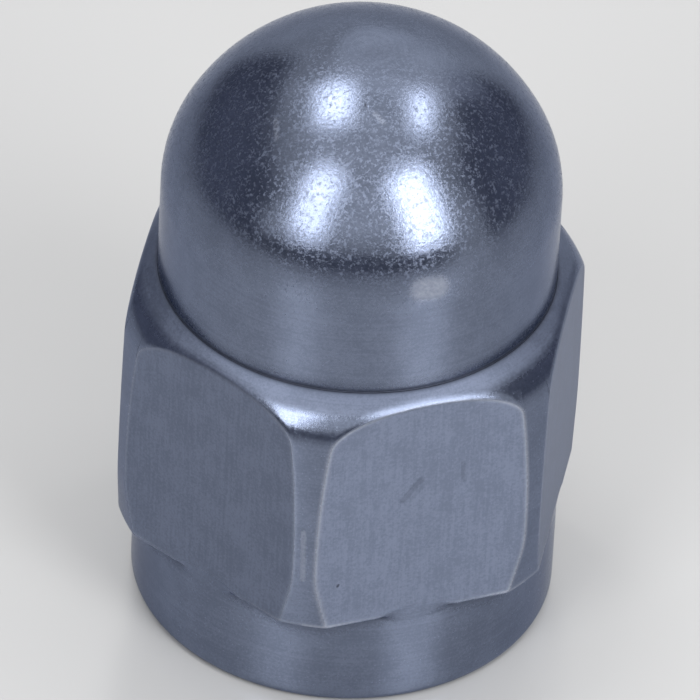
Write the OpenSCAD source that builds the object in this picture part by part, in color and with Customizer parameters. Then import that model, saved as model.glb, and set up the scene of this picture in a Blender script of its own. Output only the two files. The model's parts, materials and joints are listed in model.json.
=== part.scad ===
// Domed suspension nut, in millimetres: a closed cap nut turned in one piece from hexagon bar.
// It stands on its round collar. The thread's axis is +Z, and Z = 0 is the seating face.

/* [Hexagon] */
// Distance across the flats
af = 17; // [16.5:0.5:22]
// Height of the hexagon, from the collar to the edge where the shoulder's slope meets the corners
hex_h = 10.2; // [8:0.1:14]
// How much is turned off each sharp corner where the corners are fullest
corner_cut = 0.24; // [0.15:0.01:0.5]
// Radius to which the corners are barrelled, seen from the side
barrel_r = 95; // [80:5:200]
// Height above the collar at which the corners are fullest
corner_full_h = 3.5; // [2.5:0.1:4.5]
// How far the lower end of a corner is chamfered inwards
corner_end_in = 0.25; // [0.1:0.05:0.4]
// Height of that lower chamfer
corner_end_h = 2.4; // [1.5:0.1:3]

/* [Collar] */
// Height of the plain round collar below the hexagon
collar_h = 4.5; // [3:0.1:7]
// How far the collar stands inside the flats
collar_step = 0.05; // [0.03:0.01:0.4]
// Radius of the rounded edge round the seating face
seat_edge_r = 0.45; // [0.2:0.05:1]

/* [Shoulder] */
// Slope of the shoulder, measured from the horizontal
shoulder_angle = 31.5; // [25:0.5:45]
// Radius of the round that runs from the shoulder's slope down into the corners
shoulder_round = 2; // [0.5:0.1:2.5]
// Depth of the fine relief turned round the foot of the dome
relief_depth = 0.15; // [0.05:0.05:0.4]
// Width of that relief
relief_w = 0.3; // [0.2:0.05:0.8]

/* [Dome] */
// Diameter of the dome's straight side
dome_d = 15.75; // [14.5:0.25:16.25]
// Height of the straight side above the shoulder
side_h = 3.9; // [2:0.1:8]
// Height of the rounded cap above the straight side
cap_h = 7; // [6.2:0.1:7.8]
// Radius of the bend from the side into the crown
cap_edge_r = 5.6; // [3:0.1:6.5]
// Diameter of the shallow mark that the turning tool left at the top of the crown
tip_mark_d = 1.9; // [0.8:0.1:3]
// Depth of that mark below its rim
tip_mark_depth = 0.03; // [0.02:0.01:0.15]

/* [Thread] */
// Nominal diameter of the thread
thread_d = 10; // [8:0.5:11]
// Pitch of the thread
thread_pitch = 1.25; // [0.75:0.25:1.5]
// Depth of the tapping hole at its full diameter
hole_depth = 19; // [12:0.5:20]
// Angle of the drill's point
drill_angle = 118; // [90:1:140]
// How much wider than the thread the countersink's mouth is
mouth_extra = 0.8; // [0.4:0.1:1.2]
// Angle of the countersink
mouth_angle = 120; // [90:5:130]

/* [Hidden] */
$fn = 180;

steel = "#7d869b";            // bright zinc over steel
fine_fn = 1440;               // facets of the very large barrelling circle
over = 1;                     // how far a cutting shape runs past the surface it cuts
skim = 0.1;                   // how far the section runs past the barrelling circle
hair = 0.004;                 // makes two arcs cross cleanly where they would only just touch

sharp_corner_r = af / 2 / cos(30);
corner_r = sharp_corner_r - corner_cut;
collar_r = af / 2 - collar_step;
dome_r = dome_d / 2;

corner_full_z = collar_h + corner_full_h;
corner_end_z = collar_h + corner_end_h;
shoulder_z = collar_h + hex_h;
// radius of the barrelled corners at height z
function barrel_at(z) = corner_r - barrel_r + sqrt(barrel_r * barrel_r - pow(z - corner_full_z, 2));
corner_end_r = barrel_at(corner_end_z) - corner_end_in;
shoulder_r = barrel_at(shoulder_z);
dome_foot_z = shoulder_z + (shoulder_r - dome_r) * tan(shoulder_angle);
cap_z = dome_foot_z + side_h;
total_h = cap_z + cap_h;

// The shoulder's round touches the slope and the barrelling circle from inside.
barrel_centre = [corner_r - barrel_r, corner_full_z];
slope_out = [sin(shoulder_angle), cos(shoulder_angle)];      // square to the slope
slope_down = [cos(shoulder_angle), -sin(shoulder_angle)];    // along the slope
round_off = ([dome_r, dome_foot_z] - barrel_centre) * slope_out - shoulder_round;
round_along = sqrt(pow(barrel_r - shoulder_round, 2) - pow(round_off, 2));
round_centre = barrel_centre + round_off * slope_out + round_along * slope_down;
barrel_out = (round_centre - barrel_centre) / norm(round_centre - barrel_centre);

// The crown is a sphere that the bend runs into: its radius follows from the cap's height and the bend.
bend_x = dome_r - cap_edge_r;
tangent_r = (bend_x * bend_x + cap_h * cap_h - cap_edge_r * cap_edge_r) / (2 * (cap_h - cap_edge_r));
crown_r = tangent_r - hair;
crown_drop = crown_r - cap_h;               // how far the crown's centre lies below the cap's foot
meet_angle = atan2(crown_drop, bend_x);     // direction in which the bend meets the crown

tip_mark_r = (pow(tip_mark_d / 2, 2) + pow(tip_mark_depth, 2)) / (2 * tip_mark_depth);
tip_rim_z = total_h - crown_r + sqrt(crown_r * crown_r - pow(tip_mark_d / 2, 2));

minor_d = thread_d - 1.0825 * thread_pitch; // wall of the hole that the thread is cut in
mouth_d = thread_d + mouth_extra;
mouth_slope = tan(mouth_angle / 2);
mouth_depth = (mouth_d - minor_d) / 2 / mouth_slope;
point_h = minor_d / 2 / tan(drill_angle / 2);

// Right half of the turned section up to the top of the straight side. The chamfer under the corners
// and the slope of the shoulder both run on past the barrelling circle, which cuts them off.
module body_section() {
    past = corner_r + skim;
    chamfer_rise = corner_end_h / corner_end_in;
    difference() {
        intersection() {
            polygon([
                [0, 0], [collar_r, 0], [collar_r, collar_h], [corner_end_r, collar_h],
                [past, collar_h + (past - corner_end_r) * chamfer_rise],
                [past, shoulder_z - (past - shoulder_r) * tan(shoulder_angle)],
                [dome_r, dome_foot_z], [dome_r, cap_z], [0, cap_z]
            ]);
            translate([corner_r - barrel_r, corner_full_z]) circle(r = barrel_r, $fn = fine_fn);
        }
        translate([dome_r - relief_depth, dome_foot_z]) square([relief_depth + over, relief_w]);
        shoulder_edge_waste();
        seat_edge_waste();
    }
}

// What is turned away to round the edge between the shoulder's slope and the corners
module shoulder_edge_waste() {
    reach = shoulder_round + over;
    translate(round_centre) difference() {
        polygon([[0, 0], reach * slope_out, reach * (slope_out + barrel_out), reach * barrel_out]);
        circle(r = shoulder_round + hair);
    }
}

// What is turned away to round the edge of the seating face
module seat_edge_waste() {
    difference() {
        translate([collar_r - seat_edge_r, -over]) square([seat_edge_r + over, seat_edge_r + over]);
        translate([collar_r - seat_edge_r, seat_edge_r]) circle(r = seat_edge_r);
    }
}

// Right half of the rounded cap: the crown's circle cuts off the top of the bend and all inside it
module cap_section() {
    reach = 2 * crown_r;
    aim = [reach * cos(meet_angle), reach * sin(meet_angle)];
    translate([0, cap_z]) intersection() {
        translate([0, -crown_drop]) circle(r = crown_r);
        union() {
            intersection() {
                translate([bend_x, 0]) circle(r = cap_edge_r);
                square(reach);
            }
            polygon([[0, 0], [bend_x, 0], [bend_x, 0] + aim, [0, reach]]);
        }
    }
}

// The drawn hexagon bar, whose own faces are the flats
module hexagon_bar() {
    cylinder(h = total_h + over, r = sharp_corner_r, $fn = 6);
}

// The blind hole: the tapping drill with its point, and the countersunk mouth
module blind_hole() {
    translate([0, 0, -over]) cylinder(h = hole_depth + over, d = minor_d);
    translate([0, 0, hole_depth]) cylinder(h = point_h, d1 = minor_d, d2 = 0);
    translate([0, 0, -over])
        cylinder(h = mouth_depth + over, d1 = mouth_d + 2 * over * mouth_slope, d2 = minor_d);
}

// The shallow dish at the top of the crown
module tip_mark() {
    translate([0, 0, tip_rim_z - tip_mark_depth + tip_mark_r]) sphere(r = tip_mark_r, $fn = fine_fn / 2);
}

module dome_nut() {
    color(steel) difference() {
        intersection() {
            rotate_extrude() {
                body_section();
                cap_section();
            }
            hexagon_bar();
        }
        blind_hole();
        tip_mark();
    }
}

dome_nut();
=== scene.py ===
"""Domed suspension nut in bright zinc-plated steel: its surface, finish, wear and stage."""

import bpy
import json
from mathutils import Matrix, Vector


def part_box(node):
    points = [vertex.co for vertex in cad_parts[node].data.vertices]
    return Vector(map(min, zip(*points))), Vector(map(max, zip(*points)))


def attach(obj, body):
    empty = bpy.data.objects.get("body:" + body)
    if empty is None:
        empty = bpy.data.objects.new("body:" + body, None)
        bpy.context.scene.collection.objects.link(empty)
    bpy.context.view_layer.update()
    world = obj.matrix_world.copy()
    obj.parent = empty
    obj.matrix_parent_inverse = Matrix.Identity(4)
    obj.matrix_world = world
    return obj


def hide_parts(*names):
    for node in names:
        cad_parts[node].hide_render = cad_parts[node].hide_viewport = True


bl_info = {
    "name": "Domed Suspension Nut",
    "version": (1, 0, 0),
    "blender": (4, 5, 0),
    "location": "View3D > Sidebar > Domed Nut",
    "description": "Builds a domed suspension nut with its thread and plated finish, on a studio stage",
    "category": "Add Mesh",
}

import json
import math
from collections import namedtuple

import bpy
import numpy as np
from bpy.props import FloatProperty, FloatVectorProperty, PointerProperty
from mathutils import Matrix, Vector

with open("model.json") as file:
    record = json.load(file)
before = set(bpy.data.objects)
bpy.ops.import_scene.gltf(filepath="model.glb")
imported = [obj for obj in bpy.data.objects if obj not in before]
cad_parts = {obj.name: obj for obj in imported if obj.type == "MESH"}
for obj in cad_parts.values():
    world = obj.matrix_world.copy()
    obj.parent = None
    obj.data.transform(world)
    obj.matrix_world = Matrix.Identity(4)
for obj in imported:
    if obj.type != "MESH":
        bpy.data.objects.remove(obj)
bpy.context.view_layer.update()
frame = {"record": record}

NODE = "dome_nut"
BODY = "root"

MM = 0.001
TURN = 2 * math.pi
CORNERS = 6
LOW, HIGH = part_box(NODE)
MOUNTS = {mount["name"]: mount for mount in frame["record"]["mounts"]}
HEX_MIDDLE = MOUNTS["spanner_hex"]["pos_m"][2]
HEX_HEIGHT = MOUNTS["spanner_hex"]["dims"]["length_mm"] * MM
COLLAR_HEIGHT = HEX_MIDDLE - HEX_HEIGHT / 2

# Columns of faces round each zone. A finer zone's number is a multiple of a coarser one's.
BORE_COLUMNS = 72
HEX_COLUMNS = 720
DOME_COLUMNS = 240
# How strongly the columns crowd towards the corners: 0 spaces them evenly, and at 1 they would meet there
COLUMN_GATHER = 0.6

# What the mesh tells its material about each point: how far it lies in the hole, on a drawn flat, on a
# rubbed edge, in painted shade (with some grime under the ledge) or on the duller part of the shoulder
MASKS = ("bore", "drawn", "worn", "soiled", "matt")

# How much the edges round each flat are rubbed bright, counted round from +X
WEAR_BY_FLAT = (0.6, 0.4, 0.5, 0.35, 1.0, 0.7)

# Small marks: how strong each is, the two places in millimetres between which it runs, and its half width
Mark = namedtuple("Mark", "strength start end width")
SCRATCHES = (
    Mark(1.0, (-0.85, -8.5, 10.5), (-0.18, -8.5, 11.36), 0.2),
    Mark(0.5, (-0.5, -8.5, 10.5), (-0.1, -8.5, 11.0), 0.12),
    Mark(0.7, (1.58, -8.5, 11.86), (1.62, -8.5, 10.93), 0.14),
)
PITS = (
    Mark(1.0, (-3.42, -8.5, 6.69), (-3.4, -8.5, 6.75), 0.07),
    Mark(1.0, (-1.07, -2.8, 25.95), (-1.1, -2.75, 25.96), 0.1),
)
# Two marks on the cap, a streak down the corner left of the front flat, and a painted reflection: a pale
# spot on the dome's side
RUBS_AND_REFLECTION = (
    Mark(0.8, (-4.34, -1.6, 25.08), (-4.54, -2.32, 24.73), 0.16),
    Mark(0.7, (-0.85, -3.2, 25.8), (-0.65, -3.6, 25.66), 0.17),
    Mark(1.0, (-4.85, -8.22, 9.6), (-4.8, -8.25, 7.2), 0.16),
    Mark(2.0, (-0.25, -7.76, 20.5), (0.3, -7.76, 20.45), 0.7),
)
# The darker middle of the mark that the turning tool left on top
TOOL_MARKS = (Mark(1.0, (0.1, -0.32, 26.42), (0.7, -0.32, 26.42), 0.7),)

# Lamps and cards round the nut, by angles in degrees as seen from it. An azimuth counts from the camera's.
Softbox = namedtuple("Softbox", "name azimuth elevation width height spin strength")
SOFTBOXES = (
    Softbox("softbox_front_left", -31.5, 37, 18, 38, 0, 0.85),
    Softbox("softbox_front_right", 40.5, 35, 22, 40, 0, 1.05),
    Softbox("softbox_front", 4, 38, 30, 30, 0, 0.06),
    Softbox("softbox_top", 0, 88, 60, 60, 0, 0.05),
    Softbox("softbox_back", 159, 46, 50, 50, 0, 0.06),
    Softbox("softbox_back_left", -124, 72, 15, 25, -62, 0.9),
    Softbox("softbox_back_right", 112, 61.6, 9, 24, 75, 0.8),
)
SOFTBOX_DISTANCE = 0.5
SOFTBOX_AIM_HEIGHT = 15 * MM
# A card reaches from low to high and stands away metres from the axis.
Card = namedtuple("Card", "name azimuth width low high away")
CARDS = (
    Card("card_left", -104, 92, 0, 45, 0.62),
    Card("card_right", 110, 70, 0, 44, 0.62),
    Card("card_front", -5, 110, 0, 16, 0.66),
)
# How far the camera is moved to its own right and upwards, once it aims at the axis
CAMERA_SHIFT = (-0.104 * MM, 0.129 * MM, 0)
FLOOR_REACH = 1.6


# ---------------------------------------------------------------------------------------------- sizes


def length(name, description, default):
    """A property that holds a length in metres."""
    return FloatProperty(name=name, description=description, default=default, unit="LENGTH", precision=6)


def angle(name, description, degrees):
    """A property that holds an angle, given here in degrees."""
    return FloatProperty(name=name, description=description, default=math.radians(degrees), unit="ROTATION")


def share(name, description, default):
    """A property that holds a number from 0 to 1."""
    return FloatProperty(name=name, description=description, default=default, subtype="FACTOR")


def tone(name, description, default):
    """A property that holds a colour."""
    return FloatVectorProperty(name=name, description=description, default=default, size=3, subtype="COLOR")


class NutSizes(bpy.types.PropertyGroup):
    """Sizes of the nut's surface"""

    across_flats: length("Across flats", "Distance between opposite flats", HIGH.y - LOW.y)
    corner_radius: length("Corner radius", "Radius of the rounded corners where they are fullest", HIGH.x)
    top: length("Top", "Height of the nut's highest point", HIGH.z)
    hex_height: length(
        "Hexagon height", "From the collar to where the shoulder's slope meets the corners", HEX_HEIGHT
    )
    barrel_radius: length("Barrel radius", "Radius of the corners, seen from the side", 95 * MM)
    corner_full: length(
        "Fullest height", "Height above the collar at which the corners are fullest", 3.5 * MM
    )
    corner_end_in: length("Corner end inset", "How far the lower end of a corner is chamfered", 0.25 * MM)
    corner_end_height: length("Corner end height", "Height of that chamfer", 2.4 * MM)
    edge_blend: length("Edge blend", "Rounding of the edges between flats and corners", 0.05 * MM)
    collar_radius: length(
        "Collar radius", "Radius of the round collar", MOUNTS["collar"]["dims"]["r_mm"] * MM
    )
    collar_height: length("Collar height", "Height of the round collar", COLLAR_HEIGHT)
    seat_edge: length("Seat edge", "Radius of the rounded edge round the seating face", 0.45 * MM)
    ledge_edge: length("Ledge edge", "Rounding of the hexagon's lower edge", 0.14 * MM)
    ledge_root: length("Ledge root", "Rounding where the hexagon's underside meets the collar", 0.08 * MM)
    merge_height: length(
        "Merge height", "Height over which a flat's middle runs out into the collar", 0.7 * MM
    )
    shoulder_angle: angle("Shoulder angle", "Slope of the shoulder, from the horizontal", 31.5)
    shoulder_round: length("Shoulder round", "Radius from the shoulder's slope into the corners", 2 * MM)
    rim: length("Rim", "Rounding of the edge between the middle of a flat and the shoulder", 0.34 * MM)
    dome_radius: length("Dome radius", "Radius of the dome's straight side", 7.875 * MM)
    side_height: length("Side height", "Height of the dome's straight side", 3.9 * MM)
    relief_radius: length("Relief radius", "Radius of the fine groove along the dome's foot", 0.03 * MM)
    # Painted shade darkens the groove at the dome's foot, to this width on each side of it
    shade_width: length("Soil width", "How far the dirt reaches to each side of that groove", 0.13 * MM)
    bend_radius: length("Bend radius", "Radius of the bend from the dome's side into its crown", 5.6 * MM)
    crown_radius: length("Crown radius", "Radius of the crown", 8.144 * MM)
    cap_height: length("Cap height", "Height of the rounded cap above the straight side", 7 * MM)
    minor_radius: length(
        "Minor radius", "Radius to the thread's crests", MOUNTS["thread"]["dims"]["r_mm"] * MM
    )
    major_radius: length("Major radius", "Radius to the thread's roots", 5 * MM)
    pitch: length("Pitch", "Distance between the thread's turns", 1.25 * MM)
    hole_depth: length("Hole depth", "Depth of the tapping hole at its full diameter", 19 * MM)
    drill_angle: angle("Drill angle", "Angle of the drill's point", 118)
    mouth_radius: length("Mouth radius", "Radius of the countersink at the seating face", 5.4 * MM)
    mouth_angle: angle("Mouth angle", "Angle of the countersink", 120)


def smooth_min(a, b, blend):
    """The smaller of a and b, with their crossing rounded by a parabola that is two blends wide."""
    near = np.clip(1 - np.abs(a - b) / blend, 0, 1)
    return np.minimum(a, b) - blend * near**2 / 4


def bump_at(distance, width):
    """A bell that is 1 where distance is 0 and fades over width."""
    return np.exp(-((distance / width) ** 2))


def rounded(start, corner, end, count):
    """Rows of a quadratic curve from start to end, pulled towards corner, for each column at once."""
    t = np.linspace(0, 1, count)[:, None]
    return (1 - t) ** 2 * start + 2 * t * (1 - t) * corner + t**2 * end


def rows_to(start, end, count):
    """Evenly spaced rows that lead from start to end and leave out start itself."""
    return start + (end - start) * np.linspace(0, 1, count + 1)[1:, None]


# ---------------------------------------------------------------------------------------------- section


class Section:
    """The nut's half section as it changes round the axis.

    The turned outline is followed by arc length down from the dome's foot: the shoulder's slope, its round
    and the very large arc that barrels the corners. The drawn flats cut it wherever they lie further in."""

    def __init__(self, sizes, angles):
        self.sizes = s = sizes
        from_flat = angles % (TURN / CORNERS) - TURN / CORNERS / 2
        self.ones = np.ones_like(angles)
        self.wear = np.array(WEAR_BY_FLAT)[(angles // (TURN / CORNERS)).astype(int) % CORNERS]
        self.flat_radius = s.across_flats / 2 / np.cos(from_flat)

        self.barrel_r = s.corner_radius - s.barrel_radius
        self.barrel_z = s.collar_height + s.corner_full
        edge_z = s.collar_height + s.hex_height
        edge_r = self.barrel_r + math.sqrt(s.barrel_radius**2 - (edge_z - self.barrel_z) ** 2)
        self.foot_z = edge_z + (edge_r - s.dome_radius) * math.tan(s.shoulder_angle)

        # The round touches the slope and the barrelling arc from inside.
        out = np.array([math.sin(s.shoulder_angle), math.cos(s.shoulder_angle)])
        down = np.array([math.cos(s.shoulder_angle), -math.sin(s.shoulder_angle)])
        foot = np.array([s.dome_radius, self.foot_z])
        barrel = np.array([self.barrel_r, self.barrel_z])
        off = (foot - barrel) @ out - s.shoulder_round
        along = math.sqrt((s.barrel_radius - s.shoulder_round) ** 2 - off**2)
        centre = barrel + off * out + along * down
        to_centre_r, to_centre_z = centre - barrel
        self.slope_length = (centre - foot) @ down
        self.round_start = math.pi / 2 - s.shoulder_angle
        self.round_end = math.atan2(to_centre_z, to_centre_r)
        self.round_length = s.shoulder_round * (self.round_start - self.round_end)

        # The flats' rim is where the turned outline comes as far out as the flat. Next to a corner it
        # doesn't within this reach, and the rim then counts as lying at the reach's end, under the round.
        rim_reach = self.slope_length + self.round_length + 0.6 * MM
        runs = np.linspace(0, rim_reach, 500)
        self.rim_run = np.interp(self.flat_radius, self.outline(runs)[0], runs)

    def run_at(self, z):
        """Distance down the turned outline to height z on the barrelled corners."""
        s = self.sizes
        drop = self.round_end - np.arcsin((z - self.barrel_z) / s.barrel_radius)
        return self.slope_length + self.round_length + s.barrel_radius * drop

    def outline(self, run):
        """Radius and height at a distance run down the turned outline: a straight step, then two arcs.

        The chamfer under the corners cuts the outline off at its lower end."""
        s = self.sizes
        slope = np.minimum(run, self.slope_length)
        bend = self.round_start - np.clip(run - self.slope_length, 0, self.round_length) / s.shoulder_round
        past = np.maximum(run - self.slope_length - self.round_length, 0)
        fall = self.round_end - past / s.barrel_radius
        r = s.dome_radius + slope * math.cos(s.shoulder_angle)
        r = r + s.shoulder_round * (np.cos(bend) - math.cos(self.round_start))
        r = r + s.barrel_radius * (np.cos(fall) - math.cos(self.round_end))
        z = self.foot_z - slope * math.sin(s.shoulder_angle)
        z = z + s.shoulder_round * (np.sin(bend) - math.sin(self.round_start))
        z = z + s.barrel_radius * (np.sin(fall) - math.sin(self.round_end))
        end_drop = s.corner_end_height - s.corner_full
        end_radius = self.barrel_r + math.sqrt(s.barrel_radius**2 - end_drop**2) - s.corner_end_in
        chamfer = end_radius + (z - s.collar_height) * s.corner_end_in / s.corner_end_height
        return smooth_min(r, chamfer, s.edge_blend), z

    def near_foot(self, z):
        """1 from the dome's foot down to full_drop below it, and from there fading to 0 over fade."""
        full_drop = 0.45 * MM
        fade = 1.1 * MM
        return np.clip(1 - (self.foot_z - full_drop - z) / fade, 0, 1)

    def wall(self, run):
        """Radius and height of the nut's wall, and how deep the flat lies under the turned outline there.

        The edge between them is rounded most where it comes close to the dome's foot."""
        s = self.sizes
        r, z = self.outline(run)
        blend = s.edge_blend + (s.rim - s.edge_blend) * self.near_foot(z) ** 1.5
        return smooth_min(self.flat_radius, r, blend), z, r - self.flat_radius


# ---------------------------------------------------------------------------------------------- zones
#
# Each zone returns the radius and the height of its points, with a row for each ring and a column for each
# angle, and its masks. Rings run from the bottom of the hole out through its mouth and up the outside.


def bore_zone(s, angles):
    """The blind hole: the drill's cone, the tapped wall and the countersink.

    The tapped wall's radius follows a trapezium wave of the height less one pitch for each turn."""
    point_height = s.minor_radius / math.tan(s.drill_angle / 2)
    cone_share = np.array([0.08, 0.3, 0.6, 0.9, 0.98])
    cone_r = cone_share * s.minor_radius
    cone_z = s.hole_depth + point_height * (1 - cone_share)

    # Heights of the wall's rings: the plain end that the tap doesn't reach, the thread and the countersink
    plain_turns = 1.3
    fading_turns = 1.5
    rows_a_turn = 12
    thread_end = s.hole_depth - plain_turns * s.pitch
    sink_depth = (s.mouth_radius - s.minor_radius) / math.tan(s.mouth_angle / 2)
    turns = (thread_end - sink_depth) / s.pitch
    plain_z = np.linspace(s.hole_depth - 0.04 * MM, thread_end, 5)
    thread_z = np.linspace(thread_end, sink_depth, int(turns * rows_a_turn))[1:]
    sink_z = np.linspace(sink_depth, 0.03 * MM, 12)[1:]
    wall_z = np.concatenate([plain_z, thread_z, sink_z])[:, None]

    # Shares of a pitch: half a root's level width, and how far from a root's middle a crest starts
    root_half = 1 / 16
    crest_start = 3 / 8
    from_root = np.abs((wall_z / s.pitch - angles / TURN) % 1 - 0.5)
    depth = np.clip((crest_start - from_root) / (crest_start - root_half), 0, 1)
    fade = np.clip((thread_end - wall_z) / (fading_turns * s.pitch), 0, 1)
    tapped = s.minor_radius + (s.major_radius - s.minor_radius) * depth * fade
    sink = s.mouth_radius - wall_z * math.tan(s.mouth_angle / 2)
    wall_r = np.maximum(tapped, sink)

    lip = 0.06 * MM
    lip_r = s.mouth_radius + np.array([0.3, 1, 2]) * lip
    lip_z = np.array([0.1, 0, 0]) * lip
    ones = np.ones_like(angles)
    r = np.concatenate([cone_r[:, None] * ones, wall_r, lip_r[:, None] * ones])
    z = np.concatenate([cone_z[:, None] * ones, wall_z * ones, lip_z[:, None] * ones])
    return r, z, {"bore": np.ones_like(r)}


def ledge_rows(section):
    """The hexagon's underside: a rounded root at the collar, a level step and a rounded edge.

    In the middle of a flat, which lies as far out as the collar, a plain taper takes their place. The last
    results are how rubbed a column is, how much painted shadow with some grime a point gets, and the height
    down to which that painted shadow reaches."""
    s = section.sizes
    foot = s.collar_height * section.ones
    collar = s.collar_radius * section.ones
    foot_r, _, _ = section.wall(section.run_at(foot))
    step = np.maximum(foot_r - collar, 0.002 * MM)
    root = np.minimum(s.ledge_root, 0.45 * step)
    edge = np.minimum(s.ledge_edge, 0.5 * step)
    edge_r, edge_z, _ = section.wall(section.run_at(foot + edge))
    root_rows = 6
    edge_rows = 8
    root_r = rounded(collar, collar, collar + root, root_rows)
    root_z = rounded(foot - root, foot, foot, root_rows)
    step_r = np.concatenate([root_r, rounded(foot_r - edge, foot_r, edge_r, edge_rows)])
    step_z = np.concatenate([root_z, rounded(foot, foot, edge_z, edge_rows)])

    # The taper takes over fully where the step is no wider than this, and not at all once it has grown.
    merged_step = 0.06 * MM
    growth = 0.18 * MM
    merge = 1 - np.clip((step - merged_step) / growth, 0, 1)
    merge = merge**2 * (3 - 2 * merge)
    half = s.merge_height / 2
    top_r, top_z, _ = section.wall(section.run_at(foot + half))
    up = np.linspace(0, 1, len(step_r))[:, None]
    r = step_r + merge * (collar + up * (top_r - collar) - step_r)
    z = step_z + merge * (foot - half + up * (top_z - foot + half) - step_z)

    # Wide steps are rubbed most. Painted shadow with some grime lies under the edge, where the overhang
    # shades the collar, and by a share of the step's width below it.
    rubbed_step = 0.35 * MM
    rub_growth = 0.4 * MM
    shadow_reach = 0.8
    rubbed = (1 - merge) * (0.3 + 0.7 * np.clip((step - rubbed_step) / rub_growth, 0, 1))
    ledge_shadow_and_grime = np.clip((foot + 0.3 * edge - z) / (0.2 * edge), 0, 1) * (1 - merge)
    return r, z, rubbed, ledge_shadow_and_grime, z[0] - shadow_reach * step * (1 - merge)


def outer_zone(section):
    """The seating face, the collar, the ledge, the hexagon's wall, its rim and the shoulder."""
    s = section.sizes
    ones = section.ones

    quarter = np.linspace(0, math.pi / 2, 10)[:, None] * ones
    seat_start = s.collar_radius - s.seat_edge
    seat_r = np.array([s.mouth_radius + 0.6 * MM, seat_start - 0.15 * MM])[:, None] * ones
    edge_r = seat_start + s.seat_edge * np.sin(quarter)
    edge_z = s.seat_edge * (1 - np.cos(quarter))

    # The collar's clean rows end a fade's length under the painted shadow below the ledge, and one last row
    # lies just under the shadow's end.
    shadow_fade = 0.4 * MM
    row_gap = 0.02 * MM
    ledge_r, ledge_z, rubbed, ledge_shadow_and_grime, shadow_end = ledge_rows(section)
    clean_z = rows_to(s.seat_edge, shadow_end - shadow_fade, 4)
    collar_z = np.concatenate([clean_z, shadow_end[None] - row_gap])
    collar_r = s.collar_radius * np.ones_like(collar_z)

    # Rows of the wall, given by how far down the turned outline they lie: even ones up to the rim, close
    # ones over the rim's rounding, even ones up the shoulder and close ones in the painted shade at the
    # dome's foot.
    lowest = section.run_at(ledge_z[-1])
    rim_half = 1.35 * s.rim
    shade_run = 1.3 * s.shade_width * ones
    over_ledge = lowest - np.array([0.06, 0.12, 0.2])[:, None] * MM
    low = rows_to(over_ledge[-1], section.rim_run + rim_half, 20)
    close = section.rim_run + rim_half * np.linspace(1, -1, 14)[1:, None]
    high = rows_to(close[-1], shade_run, 18)
    last = rows_to(shade_run, s.relief_radius, 4)
    run = np.concatenate([over_ledge, low, close, high, last])
    wall_r, wall_z, depth = section.wall(run)

    r = np.concatenate([seat_r, edge_r, collar_r, ledge_r, wall_r])
    z = np.concatenate([0 * seat_r, edge_z, collar_z, ledge_z, wall_z])

    # The wall is drawn where the flat lies under the turned outline. The edges between the two are rubbed,
    # a little inside the flat near the rim, and so is the ledge's edge. The shoulder's upper part is matt.
    edge_width = 0.04 * MM
    rim_shift = 0.12 * MM
    ledge_rub_height = 0.16 * MM
    ledge_rub_width = 0.07 * MM
    matt_reach = 0.66 * MM
    matt_fade = 0.3 * MM
    drawn = np.clip(depth / edge_width + 0.5, 0, 1)
    masks = {
        "drawn": drawn,
        "worn": bump_at(depth - rim_shift * section.near_foot(wall_z), edge_width),
        "matt": np.clip((wall_z - section.foot_z + matt_reach) / matt_fade, 0, 1) * (1 - drawn),
        # Painted shade along the groove at the dome's foot
        "soiled": bump_at(run, s.shade_width),
    }
    below = len(r) - len(wall_r)
    blank = np.zeros((below, len(ones)))
    masks = {name: np.concatenate([blank, mask]) for name, mask in masks.items()}
    ledge_start = below - len(ledge_r)
    masks["worn"] += bump_at(z - s.collar_height - ledge_rub_height, ledge_rub_width) * rubbed
    masks["worn"] *= section.wear
    # Painted shadow with some grime under the ledge: strongest on the ledge's rows, weaker on the collar's
    # top row
    under_ledge = 0.8
    on_collar = 0.35
    masks["soiled"][ledge_start:below] = under_ledge * ledge_shadow_and_grime
    masks["soiled"][ledge_start - 1] = on_collar * ledge_shadow_and_grime[0]
    return r, z, masks


def dome_zone(section, angles):
    """The dome: a round groove about its foot's corner, the straight side, the bend's arc and the crown's."""
    s = section.sizes
    foot = section.foot_z
    channel = np.linspace(-s.shoulder_angle, -1.5 * math.pi, 12)[1:]
    channel_r = s.dome_radius + s.relief_radius * np.cos(channel)
    channel_z = foot + s.relief_radius * np.sin(channel)

    cap_z = foot + s.side_height
    close_z = foot + np.linspace(1.3 * s.relief_radius, 1.3 * s.shade_width, 5)
    side_z = np.concatenate([close_z, np.linspace(close_z[-1], cap_z, 8)[1:]])
    side_r = np.full_like(side_z, s.dome_radius)

    bend_middle = s.dome_radius - s.bend_radius
    crown_middle = cap_z + s.cap_height - s.crown_radius
    meet = math.atan2(cap_z - crown_middle, bend_middle)
    bend = np.linspace(0, meet, 24)[1:]
    bend_r = bend_middle + s.bend_radius * np.cos(bend)
    bend_z = cap_z + s.bend_radius * np.sin(bend)
    crown = np.linspace(meet, math.pi / 2, 26)[1:-1]
    crown_r = s.crown_radius * np.cos(crown)
    crown_z = crown_middle + s.crown_radius * np.sin(crown)

    r = np.concatenate([channel_r, side_r, bend_r, crown_r])[:, None] * np.ones_like(angles)
    z = np.concatenate([channel_z, side_z, bend_z, crown_z])[:, None] * np.ones_like(angles)
    # Painted shade in the groove at the dome's foot and on the side just above it
    soiled = bump_at(np.hypot(r - s.dome_radius, z - foot), s.shade_width)
    return r, z, {"soiled": soiled}


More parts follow.
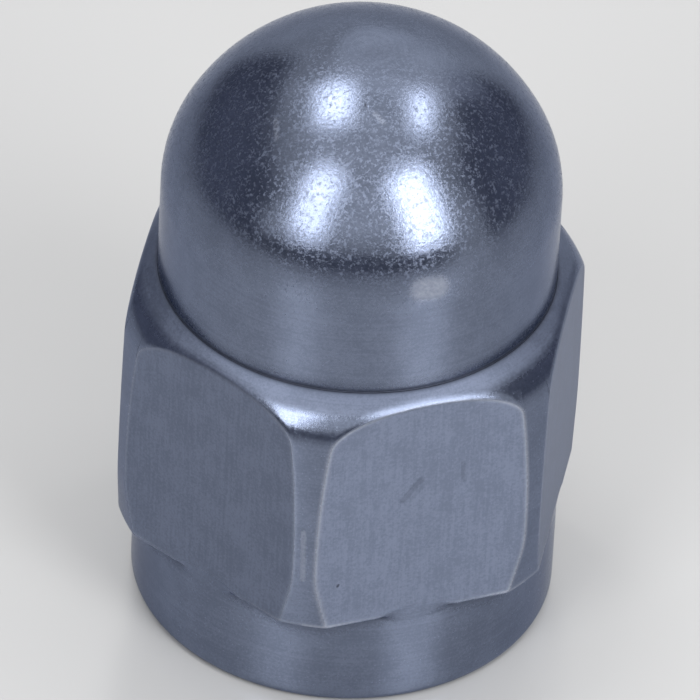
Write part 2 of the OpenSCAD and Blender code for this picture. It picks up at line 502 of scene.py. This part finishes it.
def press_tool_mark(points, s):
    """Presses the tool's shallow mark into the top: the lower of the crown and a slightly dished disc."""
    centre_x = 0.4 * MM
    radius = 0.95 * MM
    rim_depth = 0.01 * MM
    dish_depth = 0.02 * MM
    blend = 0.012 * MM
    x, y, z = points.T
    away = np.hypot(x - centre_x, y) / radius
    dish = s.top - rim_depth - dish_depth * np.clip(1 - away**2, 0, 1)
    near_top = z > s.top - 1 * MM
    return np.stack([x, y, np.where(near_top, smooth_min(z, dish, blend), z)], axis=-1)


# ---------------------------------------------------------------------------------------------- mesh


def ring_quads(first, rows, columns):
    """Quads of a grid of rings that closes round the axis. first is the index of its first point."""
    row = np.arange(rows - 1)[:, None]
    column = np.arange(columns)
    after = (column + 1) % columns
    low = first + row * columns
    high = low + columns
    return np.stack([low + column, low + after, high + after, high + column], axis=-1).reshape(-1, 4)


def widen(coarse, fine, coarse_count, fine_count):
    """Triangles from a coarse ring below to a finer one above: a fan from each coarse point, and a link."""
    step = fine_count // coarse_count
    point = np.arange(coarse_count)
    after = (point + 1) % coarse_count
    spread = point[:, None] * step + np.arange(step)
    root = np.broadcast_to(coarse + point[:, None], spread.shape)
    fans = np.stack([root, fine + (spread + 1) % fine_count, fine + spread], axis=-1)
    links = np.stack([coarse + point, coarse + after, fine + after * step], axis=-1)
    return np.concatenate([fans.reshape(-1, 3), links])


def narrow(fine, coarse, fine_count, coarse_count):
    """Triangles from a fine ring below to a coarser one above: the other way up from widen."""
    return widen(coarse, fine, coarse_count, fine_count)[:, [0, 2, 1]]


def fan(ring, columns, tip):
    """Triangles that close a ring with one point above it."""
    column = np.arange(columns)
    return np.stack([ring + column, ring + (column + 1) % columns, np.full(columns, tip)], axis=-1)


def turned_points(r, z, angles):
    """Points at radius r, height z and the columns' angles, as a plain list of rows."""
    return np.stack([r * np.cos(angles), r * np.sin(angles), z], axis=-1).reshape(-1, 3)


def gathered_angles(count):
    """Angles of columns that crowd towards the six corners: an even step less a sixfold sine."""
    even = np.arange(count) / count * TURN
    return even - COLUMN_GATHER / CORNERS * np.sin(CORNERS * even)


def nut_surface(s):
    """Points, faces and masks of the nut: three zones of rings, joined by strips and closed by two tips."""
    columns = (BORE_COLUMNS, HEX_COLUMNS, DOME_COLUMNS)
    turns = [gathered_angles(count) for count in columns]
    bore_angles, hex_angles, dome_angles = turns
    section = Section(s, hex_angles)
    zones = [bore_zone(s, bore_angles), outer_zone(section), dome_zone(section, dome_angles)]

    drill_tip = s.hole_depth + s.minor_radius / math.tan(s.drill_angle / 2)
    tips = np.array([[0, 0, drill_tip], [0, 0, s.top]])
    rings = [turned_points(r, z, angles) for (r, z, _), angles in zip(zones, turns)]
    points = press_tool_mark(np.concatenate(rings + [tips]), s)

    # The drill's tip has the masks of the rings' first point, and the top has those of their last.
    masks = {}
    for name in MASKS:
        parts = [np.broadcast_to(named.get(name, 0.0), r.shape).ravel() for r, _, named in zones]
        masks[name] = np.concatenate(parts + [[parts[0][0], parts[-1][-1]]])

    starts = np.cumsum([0] + [r.size for r, _, _ in zones]).tolist()
    bore, outer, dome, tip = starts
    bore_end, outer_end, dome_end = (start - count for start, count in zip(starts[1:], columns))
    quads = [ring_quads(start, *r.shape) for start, (r, _, _) in zip(starts, zones)]
    strips = [
        fan(bore, BORE_COLUMNS, tip)[:, [1, 0, 2]],
        widen(bore_end, outer, BORE_COLUMNS, HEX_COLUMNS),
        narrow(outer_end, dome, HEX_COLUMNS, DOME_COLUMNS),
        fan(dome_end, DOME_COLUMNS, tip + 1),
    ]
    return points, np.concatenate(quads).tolist() + np.concatenate(strips).tolist(), masks


def new_object(name, points, faces, material):
    """Puts points and faces into a smooth mesh at the origin and links its object to the scene."""
    mesh = bpy.data.meshes.new(name)
    mesh.from_pydata(points, [], faces)
    mesh.validate()
    mesh.shade_smooth()
    mesh.materials.append(material)
    made = bpy.data.objects.new(name, mesh)
    bpy.context.scene.collection.objects.link(made)
    return made


def store_mask(made, name, values):
    """Keeps one number for each point of the mesh, for its material to read."""
    layer = made.data.attributes.new(name, "FLOAT", "POINT")
    layer.data.foreach_set("value", values.astype(np.float32))


# ---------------------------------------------------------------------------------------------- shader maths


class Wire:
    """A value on its way through a shader. Arithmetic on wires adds Math nodes."""

    def __init__(self, recipe, socket):
        self.recipe = recipe
        self.socket = socket

    def __add__(self, other):
        return self.recipe.math("ADD", self, other)

    def __sub__(self, other):
        return self.recipe.math("SUBTRACT", self, other)

    def __rsub__(self, other):
        return self.recipe.math("SUBTRACT", other, self)

    def __mul__(self, other):
        return self.recipe.math("MULTIPLY", self, other)

    __radd__ = __add__
    __rmul__ = __mul__


class Recipe:
    """Builds one material's node tree."""

    def __init__(self, name):
        self.material = bpy.data.materials.new(name)
        self.material.use_nodes = True
        self.tree = self.material.node_tree
        self.tree.nodes.clear()
        place = self.node("ShaderNodeTexCoord", output="Object")
        self.place_mm = self.scaled(place, (1 / MM, 1 / MM, 1 / MM))

    def node(self, kind, settings=None, inputs=None, output=0):
        """Adds a node: its settings come first, then its sockets, which take values or wires."""
        made = self.tree.nodes.new(kind)
        for key, value in (settings or {}).items():
            setattr(made, key, value)
        for key, value in (inputs or {}).items():
            if isinstance(value, Wire):
                self.tree.links.new(value.socket, made.inputs[key])
            else:
                made.inputs[key].default_value = value
        return Wire(self, made.outputs[output])

    def math(self, operation, a, b):
        """One Math node."""
        return self.node("ShaderNodeMath", {"operation": operation}, {0: a, 1: b})

    def vector_math(self, operation, inputs, output=0):
        """One Vector Math node."""
        return self.node("ShaderNodeVectorMath", {"operation": operation}, inputs, output)

    def scaled(self, vector, factors):
        """A vector times a factor on each axis."""
        return self.vector_math("MULTIPLY", {0: vector, 1: factors})

    def noise(self, vector, scale, detail, roughness):
        """Cloudy noise between 0 and 1, with scale features to the vector's unit."""
        sockets = {"Vector": vector, "Scale": scale, "Detail": detail, "Roughness": roughness}
        return self.node("ShaderNodeTexNoise", None, sockets)

    def mask(self, name):
        """A mask that the mesh keeps for each point."""
        return self.node("ShaderNodeAttribute", {"attribute_name": name}, output="Fac")

    def ease(self, value, low, high):
        """0 where value is under low, 1 where it is over high, and a smooth step between."""
        sockets = {"Value": value, "From Min": low, "From Max": high}
        return self.node("ShaderNodeMapRange", {"interpolation_type": "SMOOTHSTEP"}, sockets)

    def tint(self, factor, first, second):
        """A colour between two colours."""
        return self.node("ShaderNodeMix", {"data_type": "RGBA"}, {0: factor, 6: first, 7: second}, output=2)

    def finish(self, kind, inputs):
        """The shader node that the surface gets."""
        shader = self.node(kind, None, inputs)
        out = self.tree.nodes.new("ShaderNodeOutputMaterial")
        self.tree.links.new(shader.socket, out.inputs["Surface"])

    def near_line(self, mark):
        """1 on the straight line of a mark, fading to 0 at the mark's width from it."""
        start = Vector(mark.start)
        along = Vector(mark.end) - start
        offset = self.vector_math("SUBTRACT", {0: self.place_mm, 1: start})
        progress = self.vector_math("DOT_PRODUCT", {0: offset, 1: along / along.length_squared}, "Value")
        within = self.node("ShaderNodeClamp", None, {"Value": progress})
        nearest = self.vector_math("SCALE", {0: along, "Scale": within})
        gap = self.vector_math("DISTANCE", {0: offset, 1: nearest}, "Value")
        return 1 - self.ease(gap, mark.width * 0.3, mark.width)

    def marks(self, group):
        """How strongly a group of marks shows: the sum of each one's strength times its nearness."""
        return sum(mark.strength * self.near_line(mark) for mark in group)


# ---------------------------------------------------------------------------------------------- finishes


class Finish(bpy.types.PropertyGroup):
    """Colours and gloss of the nut's finish"""

    zinc: tone("Zinc", "Colour of the plating", (0.19, 0.221, 0.305))
    # Bright zinc also colours the painted reflection, the pale spot on the dome's side
    bright_zinc: tone("Bright zinc", "Colour of edges rubbed bright", (0.36, 0.39, 0.47))
    dull_zinc: tone("Dull zinc", "Colour of the plating in its hollows", (0.15, 0.176, 0.245))
    # The dirt colour also paints shade: the shadow under the ledge and the dark line in the groove at the
    # dome's foot
    dirt_and_shade: tone("Dirt", "Colour of dirt and of the bottoms of marks", (0.02, 0.02, 0.03))
    edge_tint: tone("Edge tint", "Strength of glancing reflections", (0.68, 0.71, 0.8))
    turned_roughness: share("Turned roughness", "Roughness of the dome", 0.11)
    drawn_roughness: share("Drawn roughness", "Roughness of the drawn flats", 0.33)
    bore_roughness: share("Bore roughness", "Roughness of the tapped hole", 0.4)
    cap_start: length("Cap start", "Height at which the duller side starts to turn shiny", 18.9 * MM)
    cap_full: length("Cap full", "Height at which the cap is at its shiniest", 20.4 * MM)
    relief: length("Relief", "Height of the bumps that the grain, the lines and the marks make", 0.011 * MM)


def zinc_material(finish):
    """Satin zinc plating: grain, turning lines, drawing streaks, bright edges, marks, painted shade and
    reflection.
    """
    r = Recipe("zinc_plating")
    bore, drawn, worn, soiled, matt = (r.mask(name) for name in MASKS)
    turned = 1 - drawn
    level = r.node("ShaderNodeSeparateXYZ", None, {0: r.place_mm}, output="Z")
    outwards = r.vector_math("LENGTH", {0: r.scaled(r.place_mm, (1, 1, 0))}, "Value")
    cap = r.ease(level, finish.cap_start / MM, finish.cap_full / MM)

    # Noises: turning lines vary only along the turned outline, and drawing streaks are long in height.
    down = r.node("ShaderNodeCombineXYZ", None, {"Z": level - outwards})
    rings = r.noise(down, scale=6.0, detail=3.0, roughness=0.6)
    streak = r.noise(r.scaled(r.place_mm, (7.0, 7.0, 0.5)), scale=1.0, detail=3.0, roughness=0.6)
    grain = r.noise(r.place_mm, scale=9.0, detail=3.0, roughness=0.75)
    mottle = r.noise(r.place_mm, scale=5.0, detail=2.0, roughness=0.6)
    cloud = r.noise(r.place_mm, scale=0.8, detail=3.0, roughness=0.6)
    scratches, pits, rubs_and_reflection, tool_marks = (r.marks(group) for group in (SCRATCHES, PITS, RUBS_AND_REFLECTION, TOOL_MARKS))

    # Colour: patches of dull zinc, then rubbed places and a painted reflection, which the grain breaks up,
    # then dirt, and painted shade under the ledge and at the dome's foot
    zinc, bright, dull, dirt_and_shade = (
        tuple(colour) + (1,) for colour in (finish.zinc, finish.bright_zinc, finish.dull_zinc, finish.dirt_and_shade)
    )
    patchy = cloud * 0.3 + grain * 0.45 + (streak * drawn + rings * turned) * 0.25
    colour = r.tint(r.ease(patchy, 0.41, 0.59), dull, zinc)
    colour = r.tint(worn * (0.4 + 0.8 * grain) + rubs_and_reflection * (0.9 * grain - 0.1), colour, bright)
    colour = r.tint(soiled * 0.6 + pits * 0.6 + tool_marks * 0.08 + scratches * 0.22, colour, dirt_and_shade)

    # Roughness: smooth between coarse specks on turned places, most of all on the cap, and even on flats
    speckle = r.ease(grain * 0.6 + mottle * 0.4, 0.44, 0.68)
    smooth = finish.turned_roughness + 0.08 * (1 - cap)
    rough = smooth + (finish.drawn_roughness - smooth) * drawn
    rough = rough + (finish.bore_roughness - finish.turned_roughness) * bore
    rough = rough + speckle * turned * (0.09 + 0.3 * cap)
    rough = rough + (cloud - 0.5) * 0.04 + (rubs_and_reflection + soiled * 2) * 0.15 + matt * 0.2

    # Bumps, as shares of the relief's height
    height = grain * (0.4 + 0.3 * cap) + rings * turned * 0.06 + streak * drawn * 0.35
    height = height - scratches * 0.9 - pits * 1.5
    bump = r.node("ShaderNodeBump", None, {"Strength": 1.0, "Distance": finish.relief, "Height": height})
    sockets = {"Base Color": colour, "Metallic": 1.0, "Roughness": rough, "Normal": bump}
    sockets["Specular Tint"] = tuple(finish.edge_tint) + (1,)
    r.finish("ShaderNodeBsdfPrincipled", sockets)
    return r.material


def plain_material(name, colour, roughness, gloss=0.5):
    """A plain surface for the stage."""
    r = Recipe(name)
    sockets = {"Base Color": tuple(colour) + (1,), "Roughness": roughness, "Specular IOR Level": gloss}
    r.finish("ShaderNodeBsdfPrincipled", sockets)
    return r.material


# ---------------------------------------------------------------------------------------------- stage


class Stage(bpy.types.PropertyGroup):
    """The view and the light"""

    azimuth: angle("Azimuth", "Camera's angle round the nut", -21.3)
    elevation: angle("Elevation", "Camera's angle above the floor", 39.71)
    roll: angle("Roll", "How far the camera leans", 3.09)
    distance: length("Distance", "From the camera to the nut", 0.5)
    lens: FloatProperty(name="Lens", description="Focal length in millimetres", default=649.85)
    aim_height: length("Aim height", "Height on the nut's axis that the camera looks at", 11 * MM)
    lamp_power: FloatProperty(
        name="Lamp power", description="Watts for a square metre of a softbox of strength 1", default=19.2
    )
    world_strength: FloatProperty(
        name="World", description="Strength of the plain surroundings", default=0.68
    )
    floor_colour: tone("Floor", "Colour of the floor", (0.5, 0.5, 0.5))
    card_colour: tone("Cards", "Colour of the dark cards", (0.25, 0.26, 0.32))


def direction(azimuth, elevation):
    """Unit vector towards a place round the nut. Azimuth 0 is towards -Y and turns towards +X."""
    flat = math.cos(elevation)
    return Vector((math.sin(azimuth) * flat, -math.cos(azimuth) * flat, math.sin(elevation)))


def facing(back, spin):
    """Rotation of a camera or lamp that looks along -back, with its side level and then spun."""
    side = Vector((0, 0, 1)).cross(back).normalized()
    up = back.cross(side)
    level = Matrix((side, up, back)).transposed()
    return level @ Matrix.Rotation(spin, 3, "Z")


def span(away, degrees):
    """Width of what fills this many degrees of the view, seen square on from away metres."""
    return 2 * away * math.tan(math.radians(degrees / 2))


def add_camera(stage):
    """The camera: a long lens, aimed at the axis and then moved across by its small shift."""
    data = bpy.data.cameras.new("camera")
    data.lens = stage.lens
    data.clip_end = 10
    camera = bpy.data.objects.new("camera", data)
    bpy.context.scene.collection.objects.link(camera)
    back = direction(stage.azimuth, stage.elevation)
    turn = facing(back, stage.roll)
    aim = Vector((0, 0, stage.aim_height))
    camera.location = aim + turn @ Vector(CAMERA_SHIFT) + back * stage.distance
    camera.rotation_euler = turn.to_euler()
    bpy.context.scene.camera = camera


def add_softbox(stage, box):
    """A rectangular lamp that fills its width and height of the nut's surroundings, seen from the nut."""
    back = direction(math.radians(box.azimuth) + stage.azimuth, math.radians(box.elevation))
    data = bpy.data.lights.new(box.name, "AREA")
    data.shape = "RECTANGLE"
    data.size = span(SOFTBOX_DISTANCE, box.width)
    data.size_y = span(SOFTBOX_DISTANCE, box.height)
    data.energy = stage.lamp_power * box.strength * data.size * data.size_y
    lamp = bpy.data.objects.new(box.name, data)
    lamp.location = Vector((0, 0, SOFTBOX_AIM_HEIGHT)) + back * SOFTBOX_DISTANCE
    lamp.rotation_euler = facing(back, math.radians(box.spin)).to_euler()
    lamp.visible_camera = False
    bpy.context.scene.collection.objects.link(lamp)


def add_card(stage, card, material):
    """An upright dark card round the nut, unseen by the camera, that shapes its reflections."""
    back = direction(math.radians(card.azimuth) + stage.azimuth, 0)
    side = Vector((0, 0, 1)).cross(back)
    half = span(card.away, card.width) / 2
    bottom = card.away * math.tan(math.radians(card.low))
    top = card.away * math.tan(math.radians(card.high))
    spots = [(-half, bottom), (half, bottom), (half, top), (-half, top)]
    points = [tuple(back * card.away + side * x + Vector((0, 0, z))) for x, z in spots]
    made = new_object(card.name, points, [(0, 1, 2, 3)], material)
    made.visible_camera = False


def add_floor(material):
    """A level square floor round the nut."""
    reach = FLOOR_REACH
    corners = [(-reach, -reach, 0), (reach, -reach, 0), (reach, reach, 0), (-reach, reach, 0)]
    floor = new_object("floor", corners, [(0, 1, 2, 3)], material)


def set_world(strength):
    """Plain, even surroundings."""
    world = bpy.data.worlds.new("surroundings")
    world.use_nodes = True
    background = world.node_tree.nodes["Background"]
    background.inputs["Color"].default_value = (1, 1, 1, 1)
    background.inputs["Strength"].default_value = strength
    bpy.context.scene.world = world


# ---------------------------------------------------------------------------------------------- operators


class NUT_OT_body(bpy.types.Operator):
    """Builds the nut's surface and gives it its finish"""

    bl_idname = "nut.body"
    bl_label = "Nut body"

    def execute(self, context):
        points, faces, masks = nut_surface(context.scene.nut_sizes)
        material = zinc_material(context.scene.nut_finish)
        nut = new_object("nut_body", points, faces, material)
        for name, values in masks.items():
            store_mask(nut, name, values)
        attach(nut, BODY)
        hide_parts(NODE)
        return {"FINISHED"}


class NUT_OT_stage(bpy.types.Operator):
    """Adds the floor, the softboxes, the dark cards, the surroundings and the camera"""

    bl_idname = "nut.stage"
    bl_label = "Stage"

    def execute(self, context):
        stage = context.scene.nut_stage
        add_floor(plain_material("floor_board", stage.floor_colour, roughness=0.25, gloss=1.0))
        for box in SOFTBOXES:
            add_softbox(stage, box)
        dark = plain_material("card_dark", stage.card_colour, roughness=0.8)
        for card in CARDS:
            add_card(stage, card, dark)
        set_world(stage.world_strength)
        add_camera(stage)
        context.scene.view_settings.view_transform = "Standard"
        return {"FINISHED"}


class NUT_PT_panel(bpy.types.Panel):
    """Lists the nut's operators"""

    bl_idname = "NUT_PT_panel"
    bl_label = "Domed Nut"
    bl_space_type = "VIEW_3D"
    bl_region_type = "UI"
    bl_category = "Domed Nut"

    def draw(self, context):
        for operator in (NUT_OT_body, NUT_OT_stage):
            self.layout.operator(operator.bl_idname)


CLASSES = (NutSizes, Finish, Stage, NUT_OT_body, NUT_OT_stage, NUT_PT_panel)


def register():
    """Adds the classes and gives each scene its settings."""
    for kind in CLASSES:
        bpy.utils.register_class(kind)
    bpy.types.Scene.nut_sizes = PointerProperty(type=NutSizes)
    bpy.types.Scene.nut_finish = PointerProperty(type=Finish)
    bpy.types.Scene.nut_stage = PointerProperty(type=Stage)


def unregister():
    """Takes the settings and the classes away again."""
    del bpy.types.Scene.nut_stage
    del bpy.types.Scene.nut_finish
    del bpy.types.Scene.nut_sizes
    for kind in reversed(CLASSES):
        bpy.utils.unregister_class(kind)


def main():
    register()
    bpy.ops.nut.body()
    bpy.ops.nut.stage()


if __name__ == "__main__":
    main()
